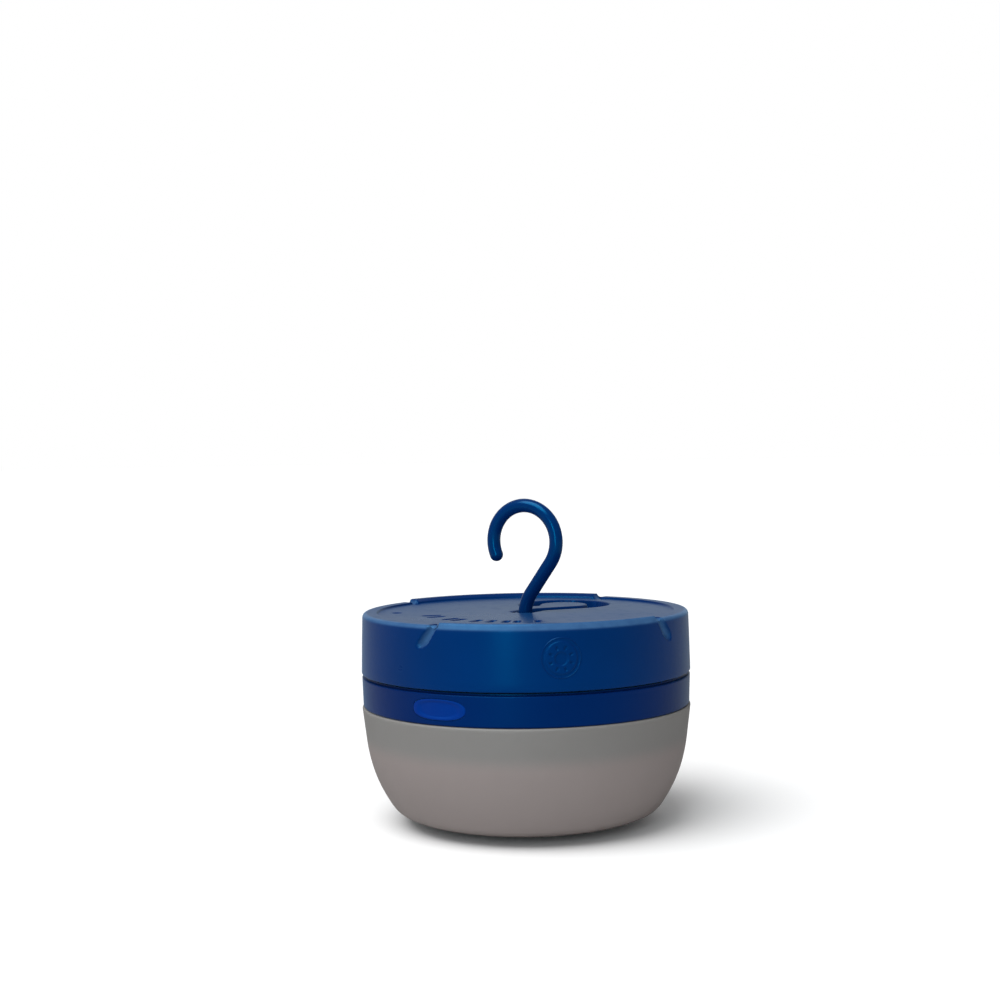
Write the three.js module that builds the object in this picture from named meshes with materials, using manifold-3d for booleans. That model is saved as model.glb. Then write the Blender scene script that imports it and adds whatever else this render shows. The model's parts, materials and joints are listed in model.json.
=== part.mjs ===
// Small round camp lantern: a frosted bowl under a blue body, a quarter-turn battery cap
// on top, and a hook that folds down into a recess in the cap.
//
// Frame: millimetres, +Z up, origin at the centre of the bowl's flat foot.
// The power button faces -Y, and the hook folds back towards +Y.

import * as THREE from 'three';
import { mergeVertices } from 'three/addons/utils/BufferGeometryUtils.js';
import Module from 'manifold-3d';

const wasm = await Module();
wasm.setup();

// ---------------------------------------------------------------- driving dimensions

const GAP = 0.3; // running or assembly clearance between neighbouring pieces
const BODY_R = 40; // outer radius of cap and lower body
const FACETS = 60; // sides of the large turned pieces

const BOWL = { top: 28.6, footR: 12, wall: 2, tongueTop: 31.4, tongueInner: 36.7, tongueOuter: 37.5 };
const BODY = { low: BOWL.top + GAP, high: 36.5, floorLow: 32.3, floorHigh: 33.5, edge: 0.3 };
const GROOVE = { inner: 36.4, outer: 37.8, roof: 35 }; // takes the bowl's tongue
const NECK = { inner: 34.7, outer: 36.5, top: 45 };
const CAP = {
  low: 36.9, face: 51, rim: 51.5, rimInner: 36.2, plate: 2.2, skirtInner: 38.2, edge: 1.1,
  ribInner: 34.9, ribOuter: 36.5, ribLow: 46.6,
};
const LIP = { height: 0.6, inner: 36.4, outer: 39.2, arc: 83, starts: [-91.5, 88.5] };
const RIM_GROOVE = { r: 1.15, lean: 0.7, sideR: BODY_R + 0.5, topR: 38.6, lift: 0.8 };
const THREAD = {
  starts: 3, lead: 12, ridgeR: 37.8, lugR: 36.9, lugTop: 39.6,
  ridgeArc: 72, lugArc: 20, ridgeHeight: 1.2, lugHeight: 1.3, stopGap: 1, stopArc: 3,
};

const HOOK = {
  rodR: 1.65, shank: 0.95, bendR: 10, bendAngle: 36, straight: 9.1, bowR: 8.75, bowAngle: 239,
};
const PIVOT = { z: CAP.face - 2.2, eyeR: 2, pinR: 0.75, pinHalf: 5, slotHalf: 2.75 };
const RECESS = { halfWidth: 2.35, wall: 1.3, floor: 46.4 };

const CELL = { r: 5.25, length: 44.5, pitch: 11.8, z: 39.2, nubR: 1.9, nubLength: 0.8 };
const TRAY = { halfX: 27.2, halfY: 18.8, low: BODY.floorHigh + GAP, high: 41, endWall: 1.4 };
const TRAY_LUG = { y: 22, r: 3.2, low: 36.4, high: 37.6 };
const CONTACT = { thickness: 0.4, width: 8, low: 35, high: 43.2, tailWidth: 2.4, tailY: 10.2 };
const SPRING = { wireR: 0.3, tipR: 1.6, footR: 3.3, turns: 2.5 };

const BOARD = { r: 33.5, low: 29, high: 30.5 };
const BOARD_SCREWS = { r: 29.3, angles: [90, 235, 305] };
const SCREW = { shankR: 1, headR: 1.9, headHeight: 1.2 };
const REFLECTOR = { low: 27.6, high: 28.6, r: 35.6, skirtLow: 20.7, ledHoleR: 5 };

const BUTTON = {
  halfX: 7.2, halfZ: 2.5, z: 32.6, frontR: 39.9, headBack: -36,
  flangeHalfX: 8.1, flangeHalfZ: 2.4, flangeFront: -36.4, flangeBack: -35.2,
  stemR: 1.5, stemLength: 2.6, stemY: -34.1,
};
const POCKET = { halfX: 8.6, front: -37.9, podFront: -35.6, back: -29, low: 27, roof: 35.3, wall: 1.2 };
const SWITCH = {
  halfX: 3, front: -31.8, back: -29.4, height: 4, wellHalf: 1.6, wellHalfZ: 1.3, wellDepth: 1.7,
};
const PLUNGER = { r: 1, length: 1.5, y: -31.75 };
const TONGUE_RELIEF = { halfX: 9.2, front: -38, back: -30 }; // the bowl's tongue stops at the button
const SEAL = { bead: 0.5, sides: 6, reliefHalfX: 9.8 };

const BOSS = { boardR: 3, boardTop: 37, boardHoleTop: 36.2, trayR: 2.8, trayHoleLow: 33.6 };
const LED = { half: 2.5, base: 0.8, domeR: 2.1, dome: 2.6 };
const CHIP = { x0: 8, x1: 13, halfY: 3, height: 1.1 };
const GASKET = { inner: 34.5, outer: 36.7, thickness: 1 };
const WASHER = { outerR: 1.95, clearance: 0.25 };
const PIVOT_BOSS = { halfX: 5.6, front: -3.45, back: 3.4 };
const PIVOT_SLOT = { front: -2.15, back: 2.4 };

// ---------------------------------------------------------------- finishes

const finish = (color, roughness, metalness = 0) => ({ color, roughness, metalness });
const FINISHES = {
  blue: finish(0x06377a, 0.34),
  brightBlue: finish(0x0a46a8, 0.45),
  frosted: finish(0x9d938d, 0.6),
  white: finish(0xe8e8e4, 0.5),
  black: finish(0x1c1d20, 0.55),
  board: finish(0x2d6a3f, 0.45),
  silicone: finish(0xb9bcc0, 0.7),
  nickel: finish(0xc4c6c8, 0.3, 1),
  steel: finish(0x9b9ea3, 0.32, 1),
  led: finish(0xf2d64a, 0.3),
  cell: finish(0x2b2f36, 0.4),
};

const lantern = new THREE.Group();
lantern.name = 'camp_lantern';

const UP = new THREE.Vector3(0, 0, 1);
const BACK = new THREE.Vector3(0, 1, 0);

// ---------------------------------------------------------------- solids and booleans

/** Closed manifold solid from a three.js geometry, welded on position alone. */
function toSolid(geometry) {
  const plain = geometry.clone();
  plain.deleteAttribute('normal');
  plain.deleteAttribute('uv');
  const welded = mergeVertices(plain, 1e-4);
  const corners = Array.from(welded.index.array);
  const kept = [];
  for (let i = 0; i < corners.length; i += 3) {
    const [a, b, c] = corners.slice(i, i + 3);
    if (a !== b && b !== c && c !== a) kept.push(a, b, c);
  }
  const vertProperties = new Float32Array(welded.attributes.position.array);
  const triVerts = new Uint32Array(kept);
  return new wasm.Manifold(new wasm.Mesh({ numProp: 3, vertProperties, triVerts }));
}

/** three.js geometry from a manifold solid. */
function toGeometry(solid) {
  const mesh = solid.getMesh();
  const geometry = new THREE.BufferGeometry();
  geometry.setAttribute('position', new THREE.BufferAttribute(mesh.vertProperties, 3));
  geometry.setIndex(new THREE.BufferAttribute(mesh.triVerts, 1));
  return geometry;
}

/** First geometry, joined with the added ones, then cut by the others. */
function carve(base, { add = [], cut = [] }) {
  let solid = toSolid(base);
  for (const piece of add) solid = solid.add(toSolid(piece));
  for (const piece of cut) solid = solid.subtract(toSolid(piece));
  return toGeometry(solid);
}

/** Adds one named sub-part to the lantern. */
function place(name, geometry, look) {
  geometry.computeVertexNormals();
  const mesh = new THREE.Mesh(geometry, new THREE.MeshStandardMaterial(FINISHES[look]));
  mesh.name = name;
  lantern.add(mesh);
}

// ---------------------------------------------------------------- basic shapes

const radians = THREE.MathUtils.degToRad;
const polar = (r, degrees) => [r * Math.cos(radians(degrees)), r * Math.sin(radians(degrees))];

/** Body of revolution about Z. Points are [radius, z], outer side first, going up. */
function turned(points, sides = FACETS) {
  const profile = points.map(([r, z]) => new THREE.Vector2(r, z));
  return new THREE.LatheGeometry(profile, sides).rotateX(Math.PI / 2);
}

/** Ring of rectangular section about Z. */
function ring(inner, outer, low, high, sides = FACETS) {
  const corners = [[inner, low], [outer, low], [outer, high], [inner, high], [inner, low]];
  return turned(corners, sides);
}

function block(x0, x1, y0, y1, z0, z1) {
  const shape = new THREE.BoxGeometry(x1 - x0, y1 - y0, z1 - z0);
  return shape.translate((x0 + x1) / 2, (y0 + y1) / 2, (z0 + z1) / 2);
}

/** Upright round bar at (x, y). */
function post(r, x, y, low, high, sides = 20) {
  const bar = new THREE.CylinderGeometry(r, r, high - low, sides).rotateX(Math.PI / 2);
  return bar.translate(x, y, (low + high) / 2);
}

/** Upright clearance hole for a screw's shank. */
function screwHole(x, y, low, high) {
  return post(SCREW.shankR + GAP, x, y, low, high, 16);
}

/** Round bar along X at (y, z). */
function crossBar(r, x0, x1, y, z, sides = 20) {
  const bar = new THREE.CylinderGeometry(r, r, x1 - x0, sides).rotateZ(Math.PI / 2);
  return bar.translate((x0 + x1) / 2, y, z);
}

/** Curved block between two radii and two angles, climbing by `rise` over its arc. */
function sector(r0, r1, a0, a1, low, high, rise = 0) {
  const steps = Math.max(1, Math.ceil((a1 - a0) / 6));
  const shape = new THREE.BoxGeometry(1, 1, 1, 1, steps, 1);
  const points = shape.attributes.position;
  for (let i = 0; i < points.count; i += 1) {
    const along = points.getY(i) + 0.5;
    const [x, y] = polar(r0 + (points.getX(i) + 0.5) * (r1 - r0), a0 + along * (a1 - a0));
    points.setXYZ(i, x, y, low + (points.getZ(i) + 0.5) * (high - low) + along * rise);
  }
  return shape;
}

/** Flat oval in the XZ plane, extruded along Y from y0 to y1, centred at height z. */
function ovalBlock(halfX, halfZ, z, y0, y1) {
  const shape = new THREE.Shape().absellipse(0, 0, halfX, halfZ, 0, 2 * Math.PI);
  const slab = new THREE.ExtrudeGeometry(shape, {
    depth: y1 - y0, bevelEnabled: false, curveSegments: 24,
  });
  return slab.rotateX(Math.PI / 2).translate(0, y1, z);
}

// ---------------------------------------------------------------- hook centreline

/** The hook's centreline, made of straight runs and bends, in the plane of `up` and X. */
class HookLine extends THREE.Curve {
  constructor(legs, base, up) {
    super();
    this.legs = legs;
    this.base = base;
    this.up = up;
    this.total = legs.reduce((sum, leg) => sum + leg.length, 0);
  }

  getPoint(t, target = new THREE.Vector3()) {
    let left = t * this.total;
    let x = 0;
    let height = 0;
    let heading = Math.PI / 2;
    for (const [i, leg] of this.legs.entries()) {
      const last = i === this.legs.length - 1;
      const run = last ? left : Math.min(left, leg.length);
      const turn = run * leg.curl;
      if (leg.curl === 0) {
        x += run * Math.cos(heading);
        height += run * Math.sin(heading);
      } else {
        x += (Math.sin(heading + turn) - Math.sin(heading)) / leg.curl;
        height += (Math.cos(heading) - Math.cos(heading + turn)) / leg.curl;
      }
      heading += turn;
      left -= run;
      if (left <= 0) break;
    }
    return target.copy(this.base).addScaledVector(this.up, height).setX(this.base.x + x);
  }
}

const straightLeg = (length) => ({ length, curl: 0 });
const bentLeg = (radius, degrees) => ({
  length: radius * Math.abs(radians(degrees)),
  curl: Math.sign(degrees) / radius,
});

/** Hook line from the pivot: up the shank, right bend, straight, then round the bow. */
function hookLine(up, { before = 0, after = 0 } = {}) {
  const base = new THREE.Vector3(0, 0, PIVOT.z).addScaledVector(up, -before);
  const legs = [
    straightLeg(HOOK.shank + before),
    bentLeg(HOOK.bendR, -HOOK.bendAngle),
    straightLeg(HOOK.straight),
    bentLeg(HOOK.bowR, HOOK.bowAngle + after),
  ];
  return new HookLine(legs, base, up);
}

/** Sweeps a closed outline, given as [across plane, in plane] points, along the line. */
function sweep(line, outline, steps) {
  const shape = new THREE.Shape(outline.map(([a, b]) => new THREE.Vector2(a, b)));
  return new THREE.ExtrudeGeometry(shape, { steps, extrudePath: line });
}

/** Outline of a circle as points, counter-clockwise. */
function circle(r, sides) {
  const corners = [];
  for (let i = 0; i < sides; i += 1) corners.push(polar(r, (360 * i) / sides));
  return corners;
}

/** Rectangle [across, in plane]: from `low` to `high` across, and 2 x half in plane. */
function strip(low, high, half) {
  return [[low, -half], [high, -half], [high, half], [low, half]];
}

// ---------------------------------------------------------------- bowl and lower body

/** Outer radius of the bowl by height: flat foot, shallow dome, round heel, then a slow flare. */
const BOWL_OUTLINE = [
  [BOWL.footR, 0], [16, 0.25], [20, 0.7], [24, 1.25], [27.4, 1.9], [30.2, 2.8], [32.2, 4],
  [34.1, 6.6], [36.1, 10.3], [37.6, 14.2], [38.7, 18.7], [39.35, 23.5], [39.8, BOWL.top],
];

function makeBowl() {
  const { top, footR, wall, tongueTop, tongueInner, tongueOuter } = BOWL;
  const inside = [
    [37.6, 26], [37.2, 22.5], [36.7, 18.5], [35.7, 14.6], [34.2, 10.9], [32.3, 7.6],
    [30.9, 5.7], [29.2, 4.6], [26.9, 3.8], [23.8, 3.2], [19.8, 2.7], [footR, wall],
  ];
  const tongue = [
    [tongueOuter, top], [tongueOuter, tongueTop], [tongueInner, tongueTop], [tongueInner, 27.4],
  ];
  const bowl = turned([[0, 0], ...BOWL_OUTLINE, ...tongue, ...inside, [0, wall]]);
  const { halfX, front, back } = TONGUE_RELIEF;
  const relief = block(-halfX, halfX, front, back, top + 0.01, GROOVE.roof);
  place('diffuser_bowl', carve(bowl, { cut: [relief] }), 'frosted');
}

function makeBodySeal() {
  const { bead, sides, reliefHalfX } = SEAL;
  const centreR = (GROOVE.inner + GROOVE.outer) / 2;
  const centreZ = BOWL.tongueTop + GAP + bead;
  const outline = circle(bead, sides).map(([r, z]) => [centreR + r, centreZ + z]);
  const whole = turned([...outline, outline[0]]);
  const { back } = TONGUE_RELIEF;
  const relief = block(-reliefHalfX, reliefHalfX, -BODY_R, back, BOWL.top, BODY.high);
  place('bowl_seal', carve(whole, { cut: [relief] }), 'silicone');
}

/** Helical ridge or lug of the quarter-turn thread, starting at angle `start`. */
function threadPiece(r0, r1, start, from, arc, under, height) {
  const climb = (degrees) => (THREAD.lead * degrees) / 360;
  const low = THREAD.lugTop + climb(from) + under;
  return sector(r0, r1, start + from, start + from + arc, low, low + height, climb(arc));
}

const threadStarts = [];
for (let i = 0; i < THREAD.starts; i += 1) threadStarts.push(30 + (360 * i) / THREAD.starts);

function makeLowerBody() {
  const { low, high, floorLow, floorHigh, edge } = BODY;
  const shell = turned([
    [0, floorLow], [GROOVE.inner, floorLow], [GROOVE.inner, GROOVE.roof],
    [GROOVE.outer, GROOVE.roof], [GROOVE.outer, low], [BODY_R - edge, low],
    [BODY_R, low + edge], [BODY_R, high - edge], [BODY_R - edge, high],
    [NECK.outer, high], [NECK.outer, NECK.top], [NECK.inner, NECK.top],
    [NECK.inner, floorHigh], [0, floorHigh],
  ]);
  const add = [];
  const cut = [];
  for (const start of threadStarts) {
    const { ridgeR, ridgeArc, ridgeHeight, stopGap, stopArc } = THREAD;
    const inside = NECK.outer - 0.4;
    add.push(threadPiece(inside, ridgeR, start, -stopGap, ridgeArc, GAP, ridgeHeight));
    const stopFrom = start - stopGap - stopArc;
    const stopTop = THREAD.lugTop + GAP + ridgeHeight;
    add.push(sector(inside, ridgeR, stopFrom, stopFrom + stopArc + 1, 37.4, stopTop - 0.2));
  }
  for (const angle of BOARD_SCREWS.angles) {
    const [x, y] = polar(BOARD_SCREWS.r, angle);
    add.push(post(BOSS.boardR, x, y, BOARD.high + GAP, BOSS.boardTop));
    cut.push(screwHole(x, y, BOARD.low - 1, BOSS.boardHoleTop));
  }
  for (const side of [-1, 1]) {
    add.push(post(BOSS.trayR, 0, side * TRAY_LUG.y, floorHigh - 0.2, TRAY_LUG.low - GAP));
    cut.push(screwHole(0, side * TRAY_LUG.y, BOSS.trayHoleLow, TRAY_LUG.high));
    cut.push(tailSlot(side, floorLow - 1, floorHigh + 1));
  }
  const { halfX, front, podFront, back, low: pocketLow, roof, wall } = POCKET;
  const pod = block(-halfX - wall, halfX + wall, podFront, back + wall, floorLow, roof + wall);
  const pocket = block(-halfX, halfX, front, back, pocketLow, roof);
  const { halfX: ovalX, halfZ: ovalZ, z, headBack } = BUTTON;
  const opening = ovalBlock(ovalX + GAP, ovalZ + GAP, z, -BODY_R - 2, headBack);
  add.push(pod);
  cut.push(pocket, opening);
  place('lower_body', carve(shell, { add, cut }), 'blue');
}

// ---------------------------------------------------------------- button and switch

function makeButton() {
  const { halfX, halfZ, z, frontR, headBack, stemR, stemLength, stemY } = BUTTON;
  const { flangeHalfX: wide, flangeHalfZ: high, flangeFront, flangeBack } = BUTTON;
  const head = ovalBlock(halfX, halfZ, z, -frontR - 1, headBack);
  const flange = block(-wide, wide, flangeFront, flangeBack, z - high, z + high);
  const stem = new THREE.CylinderGeometry(stemR, stemR, stemLength, 16).translate(0, stemY, z);
  const outside = ring(frontR, BODY_R + 2, BODY.low, CAP.low);
  const button = carve(head, { add: [flange, stem], cut: [outside] });
  place('power_button', button, 'brightBlue');
}

function makeSwitch() {
  const { z } = BUTTON;
  const { halfX, front, back, height, wellHalf, wellHalfZ, wellDepth } = SWITCH;
  const { r, length, y } = PLUNGER;
  const shell = block(-halfX, halfX, front, back, BOARD.high + GAP, BOARD.high + height);
  const wellBack = front + wellDepth;
  const well = block(-wellHalf, wellHalf, front - 1, wellBack, z - wellHalfZ, z + wellHalfZ);
  place('tact_switch', carve(shell, { cut: [well] }), 'black');
  const plunger = new THREE.CylinderGeometry(r, r, length, 14).translate(0, y, z);
  place('switch_plunger', plunger, 'white');
}

// ---------------------------------------------------------------- light engine

function makeReflector() {
  const { low, high, r, skirtLow, ledHoleR } = REFLECTOR;
  const wall = 1;
  const dish = turned([
    [ledHoleR, low], [r - 3, low], [r - wall - 0.6, low - 1.6], [r - wall - 0.9, skirtLow],
    [r - 0.9, skirtLow], [r, low - 1.4], [r - 1.2, high], [ledHoleR, high], [ledHoleR, low],
  ]);
  const cut = BOARD_SCREWS.angles.map((angle) => {
    const [x, y] = polar(BOARD_SCREWS.r, angle);
    return screwHole(x, y, low - 2, high + 2);
  });
  place('reflector', carve(dish, { cut }), 'white');
}

function makeBoard() {
  const cut = BOARD_SCREWS.angles.map((angle) => {
    const [x, y] = polar(BOARD_SCREWS.r, angle);
    return screwHole(x, y, BOARD.low - 2, BOARD.high + 2);
  });
  for (const side of [-1, 1]) cut.push(tailSlot(side, BOARD.low - 1, BOARD.high + 1));
  const disc = turned([[0, BOARD.low], [BOARD.r, BOARD.low], [BOARD.r, BOARD.high], [0, BOARD.high]]);
  place('circuit_board', carve(disc, { cut }), 'board');
}

function makeLed() {
  const top = BOARD.low - GAP;
  const { half, base, domeR, dome } = LED;
  const slab = block(-half, half, -half, half, top - base, top);
  const lens = turned([
    [0, top - dome], [1.2, top - 2.3], [2, top - 1.4], [domeR, top - 0.5], [0, top - 0.5],
  ], 20);
  place('led_emitter', carve(slab, { add: [lens] }), 'led');
  const chipLow = BOARD.high + GAP;
  const { x0, x1, halfY, height } = CHIP;
  place('driver_chip', block(x0, x1, -halfY, halfY, chipLow, chipLow + height), 'black');
}

/** Pan-head screw with its head at `seat`, pointing up (+1) or down (-1). */
function screw(x, y, seat, length, way) {
  const { shankR, headR, headHeight } = SCREW;
  const shape = turned([
    [0, -headHeight], [headR - 0.5, -headHeight], [headR, -0.5], [headR, 0], [shankR, 0],
    [shankR, length - 0.6], [shankR - 0.5, length], [0, length],
  ], 12);
  const cross = [block(-1.2, 1.2, -0.2, 0.2, -2, -0.7), block(-0.2, 0.2, -1.2, 1.2, -2, -0.7)];
  const driven = carve(shape, { cut: cross });
  if (way < 0) driven.rotateX(Math.PI);
  return driven.translate(x, y, seat);
}

function makeBoardScrews() {
  BOARD_SCREWS.angles.forEach((angle, i) => {
    const [x, y] = polar(BOARD_SCREWS.r, angle);
    place(`board_screw_${i + 1}`, screw(x, y, REFLECTOR.low - GAP, 8.4, 1), 'steel');
  });
}

// ---------------------------------------------------------------- batteries and contacts

const LANES = [-1, 0, 1]; // the three cells lie side by side; the middle one is reversed
const positiveSide = (lane) => (lane === 0 ? -1 : 1); // which end in X the nub points to
const WELL_HALF = TRAY.halfX - TRAY.endWall; // half length of the space for the cells
const PLATE_X = WELL_HALF - GAP - CONTACT.thickness / 2;
const PLATE_FACE = PLATE_X - CONTACT.thickness / 2;

/** Strip-shaped slot for a terminal's tail, at the end where x has sign `side`. */
function tailSlot(side, low, high, clearance = GAP) {
  const halfX = CONTACT.thickness / 2 + clearance;
  const halfY = CONTACT.tailWidth / 2 + clearance;
  const x = side * PLATE_X;
  const y = side * CONTACT.tailY;
  return block(x - halfX, x + halfX, y - halfY, y + halfY, low, high);
}

function makeTray() {
  const { halfX, halfY, low, high } = TRAY;
  const add = [];
  const cut = [];
  const bed = CELL.r + GAP;
  for (const lane of LANES) {
    const y = lane * CELL.pitch;
    cut.push(crossBar(bed, -WELL_HALF, WELL_HALF, y, CELL.z, 28));
    cut.push(block(-WELL_HALF, WELL_HALF, y - bed, y + bed, CELL.z, high + 1));
  }
  for (const side of [-1, 1]) {
    const inner = side * WELL_HALF;
    const x = [inner, inner - side].sort((a, b) => a - b);
    cut.push(block(x[0], x[1], -17.2, 17.2, CONTACT.low - GAP, high + 1));
    cut.push(tailSlot(side, low - 1, CONTACT.low));
    const y = [side * 18, side * TRAY_LUG.y].sort((a, b) => a - b);
    add.push(post(TRAY_LUG.r, 0, side * TRAY_LUG.y, TRAY_LUG.low, TRAY_LUG.high));
    add.push(block(-TRAY_LUG.r, TRAY_LUG.r, y[0], y[1], TRAY_LUG.low, TRAY_LUG.high));
    cut.push(screwHole(0, side * TRAY_LUG.y, TRAY_LUG.low - 2, high + 1));
  }
  const body = block(-halfX, halfX, -halfY, halfY, low, high);
  place('battery_tray', carve(body, { add, cut }), 'black');
  [['front', -1], ['rear', 1]].forEach(([name, side]) => {
    const seat = TRAY_LUG.high + GAP;
    place(`tray_screw_${name}`, screw(0, side * TRAY_LUG.y, seat, 3.6, -1), 'steel');
  });
}

/** Each cell is pushed towards its positive contact by the spring behind it. */
const cellTip = PLATE_FACE - GAP;
const cellTail = cellTip - CELL.length;

function makeCells() {
  LANES.forEach((lane, i) => {
    const { r, nubR, nubLength } = CELL;
    const shoulder = cellTip - nubLength;
    const cell = turned([
      [0, cellTail], [r - 0.8, cellTail], [r, cellTail + 0.6], [r, shoulder - 0.8],
      [r - 0.9, shoulder], [nubR, shoulder], [nubR, cellTip - 0.2], [nubR - 0.3, cellTip],
      [0, cellTip],
    ], 24);
    cell.rotateY((positiveSide(lane) * Math.PI) / 2);
    place(`battery_cell_${i + 1}`, cell.translate(0, lane * CELL.pitch, CELL.z), 'cell');
  });
}

/** Conical compression spring that widens from the cell's flat end to the contact plate. */
class ConeSpring extends THREE.Curve {
  constructor(tip, foot, y) {
    super();
    Object.assign(this, { tip, foot, y });
  }

  getPoint(t, target = new THREE.Vector3()) {
    const { tipR, footR, turns } = SPRING;
    const [across, up] = polar(tipR + (footR - tipR) * t, 360 * turns * t);
    return target.set(this.tip + (this.foot - this.tip) * t, this.y + across, CELL.z + up);
  }
}

function makeSprings() {
  LANES.forEach((lane, i) => {
    const side = -positiveSide(lane);
    const clear = GAP + SPRING.wireR;
    const coil = new ConeSpring(side * (clear - cellTail), side * (PLATE_FACE - clear), lane * CELL.pitch);
    place(`contact_spring_${i + 1}`, sweep(coil, circle(SPRING.wireR, 5), 36), 'nickel');
  });
}

function makePlates() {
  const { thickness, width, low, high } = CONTACT;
  const reach = CELL.pitch + width / 2;
  const plate = (side, y0, y1) => {
    const x = side * PLATE_X;
    return block(x - thickness / 2, x + thickness / 2, y0, y1, low, high);
  };
  const terminal = (side) => {
    const [y0, y1] = [side * (CELL.pitch - width / 2), side * reach].sort((a, b) => a - b);
    const tail = tailSlot(side, BOARD.low - 0.4, low + 1, 0);
    return carve(plate(side, y0, y1), { add: [tail] });
  };
  place('bridge_plate_right', plate(1, -reach, width / 2), 'nickel');
  place('bridge_plate_left', plate(-1, -width / 2, reach), 'nickel');
  place('negative_terminal', terminal(-1), 'nickel');
  place('positive_terminal', terminal(1), 'nickel');
}

// ---------------------------------------------------------------- cap, gasket and hook

/** Groove over the cap's rim: inwards on top, then down the side, leaning to `way`. */
function rimGroove(angle, way) {
  const { r, lean, sideR, topR, lift } = RIM_GROOVE;
  const outwards = new THREE.Vector3(...polar(1, angle), 0);
  const sideways = new THREE.Vector3(...polar(way * lean, angle + 90), 0);
  const cutter = (length, direction, middle) => {
    const bar = new THREE.CylinderGeometry(r, r, length, 10);
    bar.applyQuaternion(new THREE.Quaternion().setFromUnitVectors(BACK, direction));
    return bar.translate(middle.x, middle.y, middle.z);
  };
  const down = sideways.sub(UP).normalize();
  const sideMiddle = outwards.clone().multiplyScalar(sideR).addScaledVector(down, 1.2);
  sideMiddle.z += CAP.rim - 1;
  const topMiddle = outwards.clone().multiplyScalar(topR).setZ(CAP.rim + lift);
  return [cutter(8, down, sideMiddle), cutter(7, outwards, topMiddle)];
}

function makeCap() {
  const { low, face, rim, rimInner, plate, skirtInner, edge } = CAP;
  const { ribInner, ribOuter, ribLow } = CAP;
  const under = face - plate;
  const shell = turned([
    [skirtInner, low], [BODY_R - 0.3, low], [BODY_R, low + 0.3], [BODY_R, rim - edge],
    [BODY_R - 0.3, rim - edge * 0.35], [BODY_R - edge, rim], [rimInner, rim],
    [rimInner - 0.5, face], [0, face], [0, under],
    [ribInner, under], [ribInner, ribLow], [ribOuter, ribLow], [ribOuter, under],
    [skirtInner, under], [skirtInner, low],
  ]);
  const flat = hookLine(BACK, { before: 2.2 + RECESS.wall, after: 24 });
  const slot = hookLine(BACK, { before: -PIVOT_SLOT.front, after: 15 });
  const { halfWidth, wall, floor } = RECESS;
  const down = PIVOT.z - floor;
  const tub = sweep(flat, strip(-0.4, down + wall, halfWidth + wall), 40);
  const recess = sweep(slot, strip(-4, down, halfWidth), 40);
  const { halfX, front, back } = PIVOT_BOSS;
  const bosses = block(-halfX, halfX, front, back, floor - wall, under + 0.4);
  const { slotHalf } = PIVOT;
  const pivotSlot = block(-slotHalf, slotHalf, PIVOT_SLOT.front, PIVOT_SLOT.back, floor, face + 2);
  const pinBore = crossBar(PIVOT.pinR + GAP, -7, 7, 0, PIVOT.z, 16);
  const add = [tub, bosses];
  const cut = [];
  for (const start of LIP.starts) {
    const end = start + LIP.arc;
    add.push(sector(LIP.inner, LIP.outer, start, end, face, rim + LIP.height));
    cut.push(...rimGroove(start, -1), ...rimGroove(end, 1));
  }
  for (const start of threadStarts) {
    const { lugR, lugArc, lugHeight } = THREAD;
    add.push(threadPiece(lugR, skirtInner + 0.4, start, 0, lugArc, -lugHeight, lugHeight));
  }
  cut.push(recess, pivotSlot, pinBore);
  place('battery_cap', carve(shell, { add, cut }), 'blue');
}

function makeGasket() {
  const low = NECK.top + GAP;
  place('cap_gasket', ring(GASKET.inner, GASKET.outer, low, low + GASKET.thickness), 'silicone');
}

function makeHook() {
  const line = hookLine(UP);
  const rod = sweep(line, circle(HOOK.rodR, 12), 40);
  const eye = crossBar(PIVOT.eyeR, -HOOK.rodR, HOOK.rodR, 0, PIVOT.z, 20);
  const tip = new THREE.SphereGeometry(HOOK.rodR, 12, 8);
  tip.translate(...line.getPoint(1).toArray());
  const bore = crossBar(PIVOT.pinR + GAP, -4, 4, 0, PIVOT.z, 16);
  place('hanging_hook', carve(rod, { add: [eye, tip], cut: [bore] }), 'blue');
  const pin = crossBar(PIVOT.pinR, -PIVOT.pinHalf, PIVOT.pinHalf, 0, PIVOT.z, 12);
  place('hook_pin', pin, 'steel');
  [['left', -1], ['right', 1]].forEach(([name, side]) => {
    const near = HOOK.rodR + WASHER.clearance;
    const far = PIVOT.slotHalf - WASHER.clearance;
    const disc = ring(PIVOT.pinR + GAP, WASHER.outerR, near, far, 16);
    disc.rotateY((side * Math.PI) / 2).translate(0, 0, PIVOT.z);
    place(`hook_washer_${name}`, disc, 'blue');
  });
}

makeBowl();
makeBodySeal();
makeLowerBody();
makeButton();
makeSwitch();
makeReflector();
makeBoard();
makeLed();
makeBoardScrews();
makeTray();
makeCells();
makeSprings();
makePlates();
makeCap();
makeGasket();
makeHook();

export default lantern;
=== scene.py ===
"""Camp lantern: the visible skins, finishes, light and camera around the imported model.

Lengths inside the shape functions are millimetres; meshes are written in metres.
The lantern stands on its foot at the origin, +Z up, with the power button facing -Y.
"""

import json
import math

import bpy
import numpy as np
from bpy.props import FloatProperty, FloatVectorProperty, PointerProperty
from mathutils import Matrix, Vector


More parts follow.
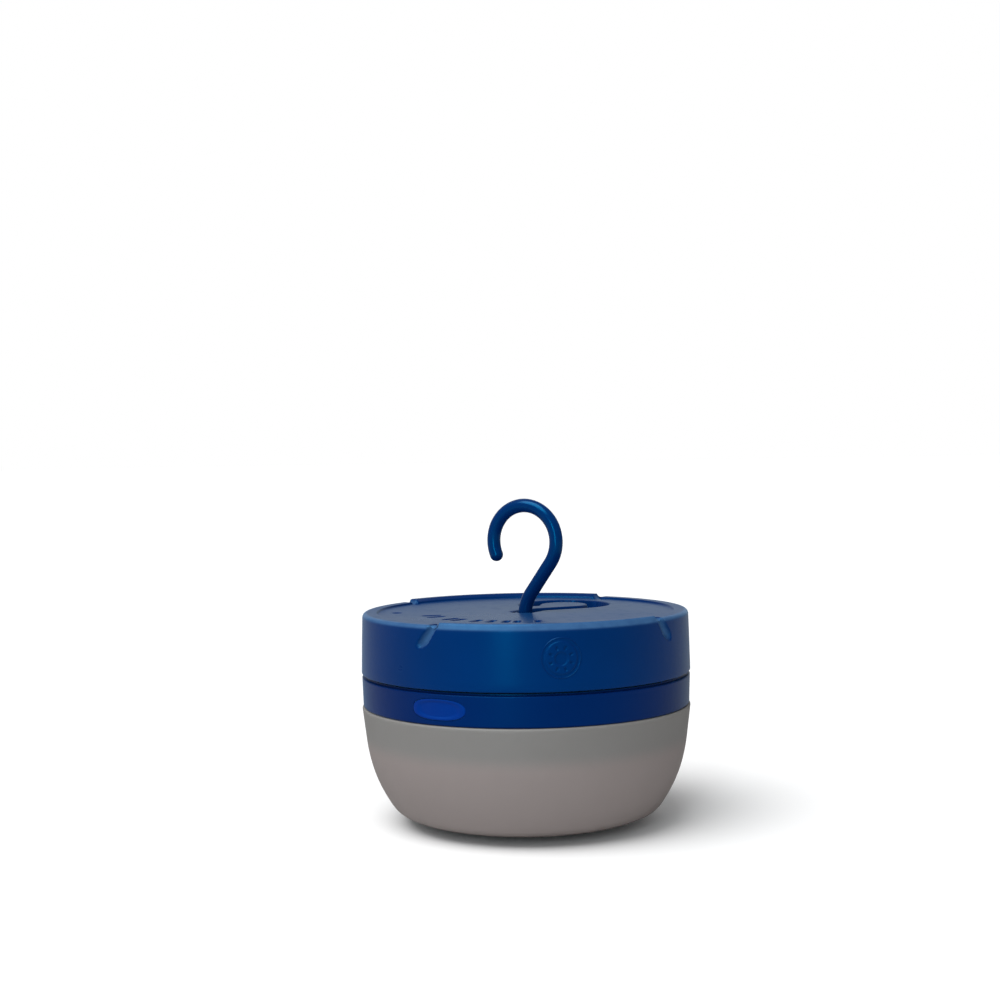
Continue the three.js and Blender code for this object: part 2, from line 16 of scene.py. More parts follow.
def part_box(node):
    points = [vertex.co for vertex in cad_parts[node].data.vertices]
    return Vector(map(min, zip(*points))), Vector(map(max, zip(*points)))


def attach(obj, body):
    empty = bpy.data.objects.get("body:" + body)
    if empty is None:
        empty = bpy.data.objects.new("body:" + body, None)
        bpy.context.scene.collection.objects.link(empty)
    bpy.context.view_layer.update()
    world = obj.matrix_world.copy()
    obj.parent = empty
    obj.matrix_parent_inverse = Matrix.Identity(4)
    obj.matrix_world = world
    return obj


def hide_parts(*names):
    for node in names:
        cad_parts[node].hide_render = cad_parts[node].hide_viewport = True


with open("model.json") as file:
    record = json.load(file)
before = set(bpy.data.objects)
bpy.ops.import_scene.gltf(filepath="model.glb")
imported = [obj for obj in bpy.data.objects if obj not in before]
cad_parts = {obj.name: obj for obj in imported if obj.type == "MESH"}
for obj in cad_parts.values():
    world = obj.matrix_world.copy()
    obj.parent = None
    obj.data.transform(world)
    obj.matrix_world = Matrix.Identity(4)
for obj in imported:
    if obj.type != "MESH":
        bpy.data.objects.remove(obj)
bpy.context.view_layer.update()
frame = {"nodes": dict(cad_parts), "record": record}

bl_info = {
    "name": "Camp Lantern",
    "version": (1, 0, 0),
    "blender": (4, 5, 0),
    "location": "3D View > Sidebar > Lantern",
    "description": "Builds a small hanging camp lantern around its packed model",
    "category": "Object",
}

MM = 0.001


def node_span(node, axis):
    """Lowest and highest millimetre of a CAD node along one axis."""
    low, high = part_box(node)
    return low[axis] / MM, high[axis] / MM


BODY_R = node_span("battery_cap", 0)[1]
CAP_LOW, CAP_LIP_TOP = node_span("battery_cap", 2)
BOWL_TONGUE_TOP = node_span("diffuser_bowl", 2)[1]
NECK_TOP = node_span("lower_body", 2)[1]
BODY_LOW = node_span("lower_body", 2)[0]
PIVOT_Z = sum(node_span("hook_pin", 2)) / 2
BUTTON_Z = sum(node_span("power_button", 2)) / 2

BOWL_TOP = BODY_LOW - 0.05  # the bowl's edge closes against the lower body
BODY_TOP = CAP_LOW - 0.4  # shoulder under the cap's seam
LIP_HEIGHT = 0.6
CAP_RIM = CAP_LIP_TOP - LIP_HEIGHT
CAP_FACE = CAP_RIM - 0.5
CAP_UNDER = CAP_FACE - 2.2
TUB_WALL = 1.3  # round and under the hook's recess
SKIRT_INNER = 38.2
NECK_OUTER = 36.5
NECK_INNER = 34.7
LIP_STARTS = (-91.5, 88.5)  # each raised lip covers the arc that follows
LIP_ARC = 83.0
DRAFT = 0.32  # how much narrower the cap is at its rim than at its seam
THREAD_STARTS = (30.0, 150.0, 270.0)
THREAD_LEAD = 12.0
THREAD_LUG_TOP = 39.6
LUG_R, LUG_ARC, LUG_HEIGHT = 36.9, 20, 1.3
RIDGE_R, RIDGE_ARC, RIDGE_HEIGHT, RIDGE_GAP = 37.8, 71, 1.2, 0.3
GROOVE_INNER, GROOVE_OUTER, GROOVE_ROOF = 36.4, 37.8, 35.0  # takes the bowl's tongue
FLOOR_LOW, FLOOR_HIGH = 32.3, 33.5
TONGUE_INNER, TONGUE_OUTER = 36.7, 37.5


# ------------------------------------------------------------------ properties


def number(name, description, default, **more):
    return FloatProperty(name=name, description=description, default=default, **more)


def colour(name, description, default):
    return FloatVectorProperty(
        name=name, description=description, subtype="COLOR", size=3, min=0, max=1, default=default)


class LanternSizes(bpy.types.PropertyGroup):
    """Sizes a user would change on the visible skins, in millimetres."""

    rod_radius: number("Hook rod radius", "Radius of the hook's rod, in mm", 1.65)
    bow_radius: number("Hook bow radius", "Centreline radius of the bow, in mm", 8.75)
    recess_half: number("Recess half width", "Half width of the hook's recess, in mm", 2.42)
    recess_floor: number("Recess floor", "Height of the recess floor, in mm", 46.4)
    button_half_width: number("Button half width", "Half the oval's width, in mm", 7.0)
    button_half_height: number("Button half height", "Half the oval's height, in mm", 2.42)
    mark_depth: number("Mark depth", "Depth of the marks in the cap, in mm", 0.5)


class LanternColours(bpy.types.PropertyGroup):
    """Base colours of the finishes, linear."""

    cap: colour("Cap blue", "Moulded blue of the battery cap", (0.0004, 0.0205, 0.116))
    body: colour("Body blue", "Moulded blue of the lower body", (0.0004, 0.0115, 0.092))
    hook: colour("Hook blue", "Moulded blue of the hook", (0.0006, 0.022, 0.115))
    button: colour("Button blue", "Brighter blue of the rubber button", (0.0006, 0.020, 0.185))
    bowl: colour("Bowl grey", "Frosted plastic of the bowl", (0.280, 0.240, 0.231))
    white: colour("White plastic", "Reflector and small white pieces", (0.78, 0.78, 0.75))
    # Painted highlight colour for the cap's rim edge and rim grooves.
    edge: colour("Edge blue", "Lighter blue of rubbed edges", (0.04, 0.11, 0.25))
    floor: colour("Floor", "Pale floor", (0.95, 0.95, 0.95))


class LanternStage(bpy.types.PropertyGroup):
    """Where the camera stands and how strong the light is."""

    azimuth: number("Azimuth", "Camera's turn from the button side, in degrees", 30.0)
    distance: number("Distance", "Level distance from the axis to the camera", 0.4, unit="LENGTH")
    height: number("Height", "Height of the camera above the floor", 0.0911, unit="LENGTH")
    aim_height: number("Aim height", "Height of the frame's centre at the axis", 0.0783, unit="LENGTH")
    aim_side: number("Aim side", "How far left of the axis the camera aims", 0.0057, unit="LENGTH")
    lens: number("Lens", "Focal length on a 36 mm sensor, in mm", 59.04)
    roll: number("Roll", "Camera roll, in degrees", -0.85)
    sky: number("Sky strength", "Strength of the soft light from all round", 0.36)
    sun: number("Overhead strength", "Strength of the wide overhead light", 2.8)
    strip: number("Strip power", "Power of the tall strip light, in watts", 1.6)
    backdrop: number("Backdrop power", "Power of the panel behind, in watts", 1.8)


# ------------------------------------------------------------------ mesh helpers


def ease(low, high, x):
    """Smooth step: 0 up to low, 1 from high, and 3t^2 - 2t^3 between."""
    t = np.clip((np.asarray(x, float) - low) / (high - low), 0, 1)
    return t * t * (3 - 2 * t)


def degrees_apart(a, b):
    """Signed difference a - b between angles in degrees, wrapped to -180..180."""
    return (a - b + 180) % 360 - 180


def skin(name, grid, wrap_rows=False, poles=(False, False), sharp=35, edge=None):
    """Closed mesh over a (rows, columns, 3) array in millimetres, written in metres.

    Columns always close round. Rows close too when wrap_rows is set; otherwise a pole flag
    welds the first or last row, whose points all coincide, into one vertex. The edge array,
    one value a grid point, is kept as the point attribute by which the finishes paint a
    highlight: a lighter colour standing in for light caught on edges.
    """
    rows, columns = grid.shape[:2]
    index = np.arange(rows * columns).reshape(rows, columns)
    if poles[0]:
        index[0] = index[0, 0]
    if poles[1]:
        index[-1] = index[-1, 0]
    lower = index if wrap_rows else index[:-1]
    upper = np.roll(index, -1, axis=0) if wrap_rows else index[1:]
    quads = np.stack([lower, np.roll(lower, -1, 1), np.roll(upper, -1, 1), upper], -1).reshape(-1, 4)
    used = np.unique(quads)
    order = np.zeros(rows * columns, int)
    order[used] = np.arange(len(used))
    points = grid.reshape(-1, 3)[used]
    made = mesh_object(name, points, order[quads], sharp)
    if edge is not None:
        attribute = made.data.attributes.new("edge", "FLOAT", "POINT")
        attribute.data.foreach_set("value", edge.reshape(-1)[used].astype(np.float32))
    return made


def mesh_object(name, points, quads, sharp=35):
    """Object from points (mm) and quads; a quad with a doubled corner becomes a triangle."""
    keep = np.ones(quads.shape, bool)
    keep[:, 1] = quads[:, 1] != quads[:, 0]
    keep[:, 3] = quads[:, 3] != quads[:, 2]
    totals = keep.sum(1)
    flat = quads[keep]
    starts = np.concatenate([[0], np.cumsum(totals)[:-1]])
    a, b, c = (points[quads[:, i]] for i in range(3))
    d = points[quads[:, 3]]
    volume = np.sum(a * (np.cross(b, c) + np.cross(c, d)))
    if volume < 0:
        ends = starts + totals - 1
        owner = np.repeat(np.arange(len(totals)), totals)
        flat = flat[starts[owner] + ends[owner] - np.arange(len(flat))]
    mesh = bpy.data.meshes.new(name)
    mesh.vertices.add(len(points))
    mesh.vertices.foreach_set("co", (points * MM).astype(np.float32).ravel())
    mesh.loops.add(len(flat))
    mesh.loops.foreach_set("vertex_index", flat.astype(np.int32))
    mesh.polygons.add(len(totals))
    mesh.polygons.foreach_set("loop_start", starts.astype(np.int32))
    mesh.polygons.foreach_set("loop_total", totals.astype(np.int32))
    mesh.update(calc_edges=True)
    mesh.polygons.foreach_set("use_smooth", np.ones(len(totals), bool))
    mesh.set_sharp_from_angle(angle=math.radians(sharp))
    if mesh.validate():
        raise RuntimeError(f"{name}: the mesh needed repair")
    made = bpy.data.objects.new(name, mesh)
    bpy.context.scene.collection.objects.link(made)
    return made


def polyline(*stretches):
    """Joins stretches of (n, 2) profile points and drops repeats."""
    points = np.concatenate([np.atleast_2d(s) for s in stretches])
    step = np.linalg.norm(np.diff(points, axis=0), axis=1)
    return points[np.concatenate([[True], step > 1e-6])]


def line(a, b, count):
    """Points on the straight stretch from a to b."""
    return np.linspace(a, b, count + 1)


def arc(centre, radius, start, end, count):
    """Points on a circular arc, from start to end degrees."""
    t = np.radians(np.linspace(start, end, count + 1))
    return np.stack([centre[0] + radius * np.cos(t), centre[1] + radius * np.sin(t)], -1)


def curve_through(points, count):
    """Catmull-Rom curve through the points, evened out to count + 1 steps by arc length."""
    p = np.asarray(points, float)
    p = np.concatenate([[2 * p[0] - p[1]], p, [2 * p[-1] - p[-2]]])
    t = np.linspace(0, 1, 24, endpoint=False)[:, None]
    a, b, c, d = p[:-3, None], p[1:-2, None], p[2:-1, None], p[3:, None]
    square, cube = 2 * a - 5 * b + 4 * c - d, 3 * b - a - 3 * c + d
    fine = 0.5 * (2 * b + (c - a) * t + square * t**2 + cube * t**3)
    fine = np.concatenate([fine.reshape(-1, 2), p[-2:-1]])
    walked = np.concatenate([[0], np.cumsum(np.linalg.norm(np.diff(fine, axis=0), axis=1))])
    even = np.linspace(0, walked[-1], count + 1)
    return np.stack([np.interp(even, walked, fine[:, i]) for i in range(2)], -1)


def round_corners(corners, radii, count=5):
    """Polygon of (r, z) corners with each inner corner replaced by an arc of its radius."""
    p = np.asarray(corners, float)
    out = [p[:1]]
    for before, here, after, radius in zip(p[:-2], p[1:-1], p[2:], radii):
        u = (before - here) / np.linalg.norm(before - here)
        v = (after - here) / np.linalg.norm(after - here)
        half = math.acos(np.clip(u @ v, -1, 1)) / 2
        cut = radius / math.tan(half)
        middle = here + (u + v) / np.linalg.norm(u + v) * radius / math.sin(half)
        a = here + u * cut - middle
        b = here + v * cut - middle
        t = np.linspace(0, 1, count + 1)[:, None]
        blend = (1 - t) * a + t * b
        out.append(middle + blend / np.linalg.norm(blend, axis=1)[:, None] * radius)
    out.append(p[-1:])
    return np.concatenate(out)


def revolve(profile, angles):
    """Grid of a (r, z) profile turned about Z through the angles, in degrees."""
    t = np.radians(angles)
    r, z = profile[:, :1], profile[:, 1:]
    return np.stack([r * np.cos(t), r * np.sin(t), z + 0 * t], -1)


def whole_turn(count):
    """Even angles round the turn, in degrees."""
    return np.arange(count) * 360.0 / count


def zoned_turn(coarse, zones):
    """Angles round the turn: coarse steps, refined to a zone's own step inside (low, high, step)."""
    angles = [np.arange(-180, 180, coarse)]
    for low, high, step in zones:
        angles[0] = angles[0][(angles[0] < low) | (angles[0] > high)]
        angles.append(np.arange(low, high + step / 2, step))
    return np.sort(np.concatenate(angles))


# ------------------------------------------------------------------ hook centreline


def hook_centreline(sizes, before=0.0, after=0.0, count=240):
    """Hook line as (x, height above the pivot): shank, right bend, straight, then the bow.

    A heading turns at a constant rate along each leg, and the line is the running sum of
    unit steps in that heading, so every leg is a straight or a true arc.
    """
    bend_radius, lean = 10.0, math.radians(36)
    bow = sizes.bow_radius
    legs = [
        (0.95 + before, 0.0),
        (bend_radius * lean, -1 / bend_radius),
        (9.1, 0.0),
        (bow * math.radians(239 + after), 1 / bow),
    ]
    total = sum(length for length, _ in legs)
    steps = 4000
    s = (np.arange(steps) + 0.5) * total / steps
    ends = np.cumsum([length for length, _ in legs])
    curl = np.array([c for _, c in legs])[np.minimum(np.searchsorted(ends, s), 3)]
    heading = math.pi / 2 + (np.cumsum(curl) - curl / 2) * total / steps
    x = np.concatenate([[0], np.cumsum(np.cos(heading))]) * total / steps
    height = np.concatenate([[0], np.cumsum(np.sin(heading))]) * total / steps - before
    keep = np.linspace(0, steps, count + 1).astype(int)
    return np.stack([x[keep], height[keep]], -1)


def distance_to(points, path):
    """Distance from each (x, y) point to the nearest point of a finely stepped path."""
    best = np.full(points.shape[:-1], 1e9)
    for a, b in zip(path[:-1], path[1:]):
        along = np.clip(((points - a) @ (b - a)) / ((b - a) @ (b - a)), 0, 1)
        gap = points - (a + along[..., None] * (b - a))
        best = np.minimum(best, np.hypot(gap[..., 0], gap[..., 1]))
    return best


# ------------------------------------------------------------------ cap


def box_distance(x, y, centre, half, corner=0.0):
    """Signed distance to a rectangle with rounded corners, negative inside."""
    dx = np.abs(x - centre[0]) - half[0] + corner
    dy = np.abs(y - centre[1]) - half[1] + corner
    outside = np.hypot(np.maximum(dx, 0), np.maximum(dy, 0))
    return outside + np.minimum(np.maximum(dx, dy), 0) - corner


TURN_MARKS = ((-127.5, 4.2), (-104.5, 3.4), (-84, 4.6), (-67.5, 3.2), (-52.5, 0))
MARK_RADIUS = 23.6


def turn_marks(r, angle):
    """How deep the plain marks are, 0 to 1: pairs of short pills that point outwards along an arc.

    Each pair is a middle angle and how far its pills stand to either side; one dot lies apart.
    """
    depth = np.zeros(r.shape)
    for middle, aside in TURN_MARKS:
        off = np.abs(np.abs(degrees_apart(angle, middle)) - aside)
        gap = box_distance(np.radians(off) * MARK_RADIUS, r - MARK_RADIUS, (0, 0), (0.8, 2.2), 0.75)
        depth = np.maximum(depth, 1 - ease(-0.2, 0.2, gap))
    along = np.radians(degrees_apart(angle, -150)) * 31.3
    return np.maximum(depth, 1 - ease(0.8, 1.2, np.hypot(along, r - 31.3)))


def cap_skin(sizes):
    """The cap as one closed surface: profile station along the rows, angle round the columns.

    Rows run from the middle of the face out over the rim, down the side, under the skirt,
    up its inside and back to the middle underneath. Each row is a circle; the hook's recess,
    the lips, the rim grooves, the marks and the thread lugs are offsets of those circles,
    smooth steps of the distance to each feature's outline.
    """
    angles = zoned_turn(2.5, [(36, 144, 0.6), (-154, -50, 0.55), (-16, 1, 0.5), (163, 179.5, 0.5)])
    face = line((0, CAP_FACE), (35.4, CAP_FACE), 100)
    ledge = round_corners(
        [(35.4, CAP_FACE), (36.0, CAP_FACE), (36.2, CAP_RIM), (36.9, CAP_RIM)], (0.18, 0.18), 3)
    rim_r = BODY_R - DRAFT
    heel_r = 0.3
    rim = line((36.9, CAP_RIM), (rim_r - 1.1, CAP_RIM), 6)
    edge = arc((rim_r - 1.1, CAP_RIM - 1.1), 1.1, 90, 0, 8)
    waist = (BODY_R - DRAFT / 2, 44.6)
    side = polyline(
        line((rim_r, CAP_RIM - 1.1), waist, 16), line(waist, (BODY_R, CAP_LOW + heel_r), 4))
    heel = arc((BODY_R - heel_r, CAP_LOW + heel_r), heel_r, 0, -90, 5)
    outside = polyline(face, ledge, rim, edge, side, heel)
    lug_rows = THREAD_LUG_TOP + np.array([-1.35, -1.25, -0.6, -0.05, 0.05, 0.7, 0.8])
    skirt = [(SKIRT_INNER, z) for z in (CAP_LOW + 0.3, *lug_rows, 44.0, CAP_UNDER)]
    rib = [(NECK_OUTER, CAP_UNDER), (NECK_OUTER, 46.6), (34.9, 46.6), (34.9, CAP_UNDER)]
    under = line((34.4, CAP_UNDER), (0, CAP_UNDER), 30)
    profile = polyline(outside, [(SKIRT_INNER + 0.3, CAP_LOW)], skirt, rib, under)
    top_rows = np.arange(len(profile)) < len(outside)
    grid = revolve(profile, angles)
    radius = np.broadcast_to(profile[:, :1], grid.shape[:2]).copy()
    height = np.broadcast_to(profile[:, 1:], grid.shape[:2]).copy()
    turn = np.broadcast_to(angles, grid.shape[:2])
    upper = np.broadcast_to(top_rows[:, None], grid.shape[:2])

    raise_lip(radius, height, turn, upper)
    # Painted highlight: a mask over the rounded rim edge and the rim grooves lightens the cap's colour
    # there, standing in for the light they catch.
    highlighted = ease(rim_r - 1.25, rim_r - 0.75, radius) * ease(CAP_RIM - 1.2, CAP_RIM - 0.5, height)
    painted_highlight = np.where(upper, highlighted, 0)
    painted_highlight = np.maximum(painted_highlight, 0.9 * cut_rim_grooves(radius, height, turn, upper))
    sink_recess(sizes, radius, height, turn, upper)
    height -= sizes.mark_depth * np.where(upper & (radius < 35), turn_marks(radius, turn), 0)
    add_lugs(radius, turn, height, upper)
    t = np.radians(turn)
    return np.stack([radius * np.cos(t), radius * np.sin(t), height], -1), (True, True), painted_highlight


def raise_lip(radius, height, turn, upper):
    """Lifts the rim to the lips' height over each lip's arc, between two radii."""
    band = ease(36.3, 36.75, radius) * (1 - ease(38.9, 39.6, radius))
    arc_share = np.zeros(radius.shape)
    for start in LIP_STARTS:
        middle = np.abs(degrees_apart(turn, start + LIP_ARC / 2))
        arc_share = np.maximum(arc_share, 1 - ease(LIP_ARC / 2 - 2.2, LIP_ARC / 2, middle))
    lifted = upper & (height > CAP_RIM - 0.4)
    height += np.where(lifted, LIP_HEIGHT * band * arc_share, 0)


def cut_rim_grooves(radius, height, turn, upper):
    """Grooves over the rim at the lips' ends, leaning away from the lip down the side.

    Each is a round-bottomed channel, deepest in its middle as a circle's chord is, and it
    ends in a blunt scoop. Returns how far each point lies in a groove, 0 to 1.
    """
    inside = np.zeros(radius.shape)
    for start in LIP_STARTS:
        for centre, way in ((start, -1), (start + LIP_ARC, 1)):
            drop = np.clip(CAP_RIM - 0.3 - height, 0, 9)
            middle = centre + way * np.degrees(0.75 * drop / BODY_R)
            across = np.abs(np.radians(degrees_apart(turn, middle))) * radius
            half = 0.7 + 0.1 * drop
            round_end = np.hypot(across, np.maximum(drop - 3.4, 0))
            hollow = np.sqrt(np.clip(1 - (round_end / (half + 0.45)) ** 2, 0, 1))
            on_side = upper & (radius > BODY_R - DRAFT - 0.6)
            on_top = upper & (radius > 33.5) & ~on_side
            radius -= np.where(on_side, 0.95 * hollow, 0)
            height -= np.where(on_top, 0.75 * hollow * ease(34.4, 36.6, radius), 0)
            inside = np.maximum(inside, np.where(on_side | (on_top & (radius > 36.6)), hollow, 0))
    return inside


def sink_recess(sizes, radius, height, turn, upper):
    """Question-mark recess: the face drops to the floor near the folded hook's centreline.

    Underneath, the same outline one wall wider hangs below the plate as a tub.
    """
    x = radius * np.cos(np.radians(turn))
    y = radius * np.sin(np.radians(turn))
    near = (radius < 35.2) & ((height > CAP_FACE - 0.1) | ~upper) & (y > -8) & (np.abs(x) < 16)
    points = np.stack([x[near], y[near]], -1)
    path = hook_centreline(sizes, before=1.0, after=15, count=120)
    gap = distance_to(points, path) - sizes.recess_half
    slot = box_distance(points[:, 0], points[:, 1], (0, 0.15), (2.75, 2.3), 0.4)
    gap = np.minimum(gap, slot)
    boss = box_distance(points[:, 0], points[:, 1], (0, 0), (5.6, 3.4), 0.6)
    tub = np.minimum(gap - TUB_WALL, boss)
    top = CAP_FACE - (CAP_FACE - sizes.recess_floor) * (1 - ease(-0.32, 0.32, gap))
    soft_edge = 0.28 * (1 - ease(0.1, 0.75, gap)) * ease(0.0, 0.2, gap)
    tub_depth = CAP_UNDER - sizes.recess_floor + TUB_WALL
    bottom = CAP_UNDER - tub_depth * (1 - ease(-0.25, 0.25, tub))
    height[near] = np.where(upper[near], top - soft_edge, np.minimum(height[near], bottom))


def add_lugs(radius, turn, height, upper):
    """Thread lugs inside the skirt: the inner wall steps in along three short helices."""
    for start in THREAD_STARTS:
        along = degrees_apart(turn, start)
        top = THREAD_LUG_TOP + THREAD_LEAD * along / 360
        inside = (along >= 0) & (along <= LUG_ARC) & (height < top) & (height > top - LUG_HEIGHT)
        on_skirt = ~upper & (np.abs(radius - SKIRT_INNER) < 0.05)
        radius[:] = np.where(on_skirt & inside, LUG_R, radius)


def badge_skin():
    """Plain badge on the cap's side: a low round pad bent to the cap's radius.

    Polar grid about the badge's middle: distance from the middle sets the thickness, as a
    low pad with a sunk ring, and a lamp-and-rays glyph is sunk by distances to its strokes.
    """
    angle0, z0, size = -48.6, 44.5, 4.8
    thickness, sunk = 0.24, 0.22
    spokes = whole_turn(144)
    s, q = np.meshgrid(np.linspace(0, size, 44), np.radians(spokes), indexing="ij")
    across, up = s * np.cos(q), s * np.sin(q)
    border = 1 - ease(0.28, 0.52, np.abs(s - (size - 0.75)))
    dome = 1 - ease(1.35, 1.6, np.hypot(across, up + 0.2))
    rays = np.zeros(s.shape)
    for k in range(8):
        t = math.radians(22.5 + 45 * k)
        along = across * math.cos(t) + (up + 0.2) * math.sin(t)
        aside = np.abs(-across * math.sin(t) + (up + 0.2) * math.cos(t))
        within = ease(2.0, 2.2, along) * (1 - ease(2.8, 3.0, along))
        rays = np.maximum(rays, (1 - ease(0.16, 0.36, aside)) * within)
    relief = thickness - sunk * np.maximum(border, np.maximum(dome, rays))
    fall = ease(size - 0.35, size, s)
    wall = BODY_R - DRAFT * np.clip((z0 + up - CAP_LOW) / (CAP_RIM - CAP_LOW), 0, 1)
    out = wall + relief * (1 - fall) - 0.35 * fall
    front = badge_points(angle0, z0, across, up, out)
    back = badge_points(angle0, z0, across[::-1], up[::-1], np.full(s.shape, BODY_R - 0.6))
    return np.concatenate([front, back]), (True, True)


def badge_points(angle0, z0, across, up, out):
    """Points of the badge wrapped round the cap: arc length across becomes an angle."""
    t = math.radians(angle0) + across / BODY_R
    return np.stack([out * np.cos(t), out * np.sin(t), z0 + up], -1)


# ------------------------------------------------------------------ lower body and button


OVAL_POWER = 2.5  # 2 is an ellipse; higher is boxier
POCKET_GAP = 0.08  # between the pad's outline and the pocket's
POCKET_DEPTH = 1.85  # stops just short of the groove for the bowl's tongue


def oval_distance(across, up, half_width, half_height):
    """Signed distance to the button's oval and the unit direction away from it.

    The oval is |x/a|^n + |z/b|^n = 1; its level k and the slope of k give the distance.
    """
    a, b = np.abs(across / half_width), np.abs(up / half_height)
    n = OVAL_POWER
    k = np.maximum((a**n + b**n) ** (1 / n), 1e-6)
    slope_across = (a / k) ** (n - 1) / half_width * np.sign(across)
    slope_up = (b / k) ** (n - 1) / half_height * np.sign(up)
    slope = np.maximum(np.hypot(slope_across, slope_up), 1e-6)
    return (k - 1) / slope, slope_across / slope, slope_up / slope


def body_skin(sizes):
    """Lower body: the ring, its shoulder, the threaded neck, the floor and the groove below.

    Profile rows turned about Z. Near the button the outer wall steps in along Y to a pocket
    where the distance to the oval is negative, so its sides run the way the button travels.
    The points nearest the oval move onto it. The neck steps out along three helical ridges.
    """
    angles = zoned_turn(2.5, [(-102, -78, 0.18)])
    ring_low = BODY_LOW
    low_r, high_r, foot_edge, shoulder = BODY_R - 0.3, BODY_R - 0.1, 0.5, 0.2
    step_z = BODY_TOP - 0.45  # the seam is a step as deep as it is high
    outer = polyline(
        arc((low_r - foot_edge, ring_low + foot_edge), foot_edge, -90, 0, 6),
        line((low_r, ring_low + foot_edge), (high_r, step_z - shoulder), 56),
        arc((high_r - shoulder, step_z - shoulder), shoulder, 0, 90, 5),
        [(39.1, step_z), (38.95, step_z + 0.15), (38.95, BODY_TOP)],
    )
    neck_rows = np.concatenate([[BODY_TOP + 0.4], np.arange(37.3, 44.6, 0.24), [NECK_TOP - 0.2]])
    neck = [(NECK_OUTER, z) for z in neck_rows]
    inner = [
        (NECK_OUTER - 0.2, NECK_TOP), (NECK_INNER + 0.2, NECK_TOP), (NECK_INNER, NECK_TOP - 0.2),
        (NECK_INNER, 33.9), (34.3, FLOOR_HIGH), (20, FLOOR_HIGH), (0, FLOOR_HIGH),
    ]
    below = [
        (0, FLOOR_LOW), (20, FLOOR_LOW), (36.2, FLOOR_LOW), (GROOVE_INNER, 32.5),
        (GROOVE_INNER, 34.8), (36.6, GROOVE_ROOF), (37.6, GROOVE_ROOF), (GROOVE_OUTER, 34.8),
        (GROOVE_OUTER, ring_low + 0.3), (38.1, ring_low),
    ]
    profile = polyline(below, outer, [(NECK_OUTER + 0.3, BODY_TOP)], neck, inner)
    grid = revolve(profile, angles)
    radius = np.broadcast_to(profile[:, :1], grid.shape[:2]).copy()
    height = np.broadcast_to(profile[:, 1:], grid.shape[:2]).copy()
    turn = np.broadcast_to(angles, grid.shape[:2])
    across = np.radians(degrees_apart(turn, -90)) * BODY_R
    gap, lean_across, lean_up = oval_distance(
        across, height - BUTTON_Z,
        sizes.button_half_width + POCKET_GAP, sizes.button_half_height + POCKET_GAP)
    on_wall = (radius > low_r - 0.02) & (height > ring_low + 0.3) & (height < step_z)
    on_wall &= np.abs(across) < 9
    snap = on_wall & (np.abs(gap) < 0.07)
    turn = turn - np.where(snap, np.degrees(gap * lean_across / BODY_R), 0)
    height -= np.where(snap, gap * lean_up, 0)
    sunk = np.where(on_wall & ~snap & (gap < 0), POCKET_DEPTH, 0)
    for start in THREAD_STARTS:
        along = degrees_apart(turn, start)
        low = THREAD_LUG_TOP + RIDGE_GAP + THREAD_LEAD * along / 360
        under_top = height < low + RIDGE_HEIGHT
        on_ridge = (along > -1) & (along < RIDGE_ARC) & (height > low) & under_top
        on_stop = (along > -4) & (along < 0) & (height > 37.4) & under_top
        on_neck = (np.abs(radius - NECK_OUTER) < 0.01) & (height < 44.9)
        radius = np.where(on_neck & (on_ridge | on_stop), RIDGE_R, radius)
    t = np.radians(turn)
    return np.stack([radius * np.cos(t), radius * np.sin(t) + sunk, height], -1), (True, True)


def button_skin(sizes):
    """Oval button: rings of the oval, a soft raised border round a dish, sides tapering inwards.

    Each ring is the oval scaled by its share; x = k cos^(2/n), z = k sin^(2/n) of the spoke.
    The front follows the body's cylinder, y = -sqrt(R^2 - x^2), set in by the ring's depth.
    """
    spokes = np.radians(whole_turn(120))
    curve = np.linspace(0, math.pi / 2, 9)
    dish = np.linspace(0, 0.95, 30)
    share = np.concatenate([dish, 0.95 + 0.05 * np.sin(curve[1:]), [0.93, 0.88, 0.5, 0.0]])
    border = 0.3 - 0.26 * ease(0.62, 0.88, dish)
    depth = np.concatenate([border, 0.04 + 0.3 * (1 - np.cos(curve[1:])), [1.05, 1.2, 1.2, 1.2]])
    k, q = np.meshgrid(share, spokes, indexing="ij")
    bulge = 2 / OVAL_POWER
    x = sizes.button_half_width * k * np.sign(np.cos(q)) * np.abs(np.cos(q)) ** bulge
    z = sizes.button_half_height * k * np.sign(np.sin(q)) * np.abs(np.sin(q)) ** bulge
    front = BODY_R - 0.1
    y = -np.sqrt(front**2 - x**2) + depth[:, None]
    return np.stack([x, y, BUTTON_Z + z], -1), (True, True)


# ------------------------------------------------------------------ bowl


def bowl_skin():
    """Frosted bowl: outer curve, top edge, tongue and inner curve turned about Z."""
    foot = 12.0
    outside = [
        (foot, 0), (16, 0.25), (20, 0.7), (24, 1.25), (27.4, 1.9), (30.2, 2.8), (32.2, 4), (34.1, 6.6),
        (36.1, 10.3), (37.6, 14.2), (38.7, 18.7), (39.35, 23.5), (BODY_R - 0.05, BOWL_TOP - 0.45)]
    lip = arc((BODY_R - 0.5, BOWL_TOP - 0.45), 0.45, 0, 90, 6)
    tongue = round_corners(
        [(BODY_R - 0.5, BOWL_TOP), (TONGUE_OUTER, BOWL_TOP), (TONGUE_OUTER, BOWL_TONGUE_TOP),
         (TONGUE_INNER, BOWL_TONGUE_TOP), (TONGUE_INNER, 27.4), (37.6, 26)], (0.2, 0.2, 0.2, 0.4), 3)
    inside = [
        (37.6, 26), (37.2, 22.5), (36.7, 18.5), (35.7, 14.6), (34.2, 10.9), (32.3, 7.6), (30.9, 5.7),
        (29.2, 4.6), (26.9, 3.8), (23.8, 3.2), (19.8, 2.7), (foot, 2)]
    profile = polyline(
        line((0, 0), (foot, 0), 6), curve_through(outside, 80), lip, tongue,
        curve_through(inside, 44), line((foot, 2), (0, 2), 6))
    return revolve(profile, whole_turn(200)), (True, True)


# ------------------------------------------------------------------ hook


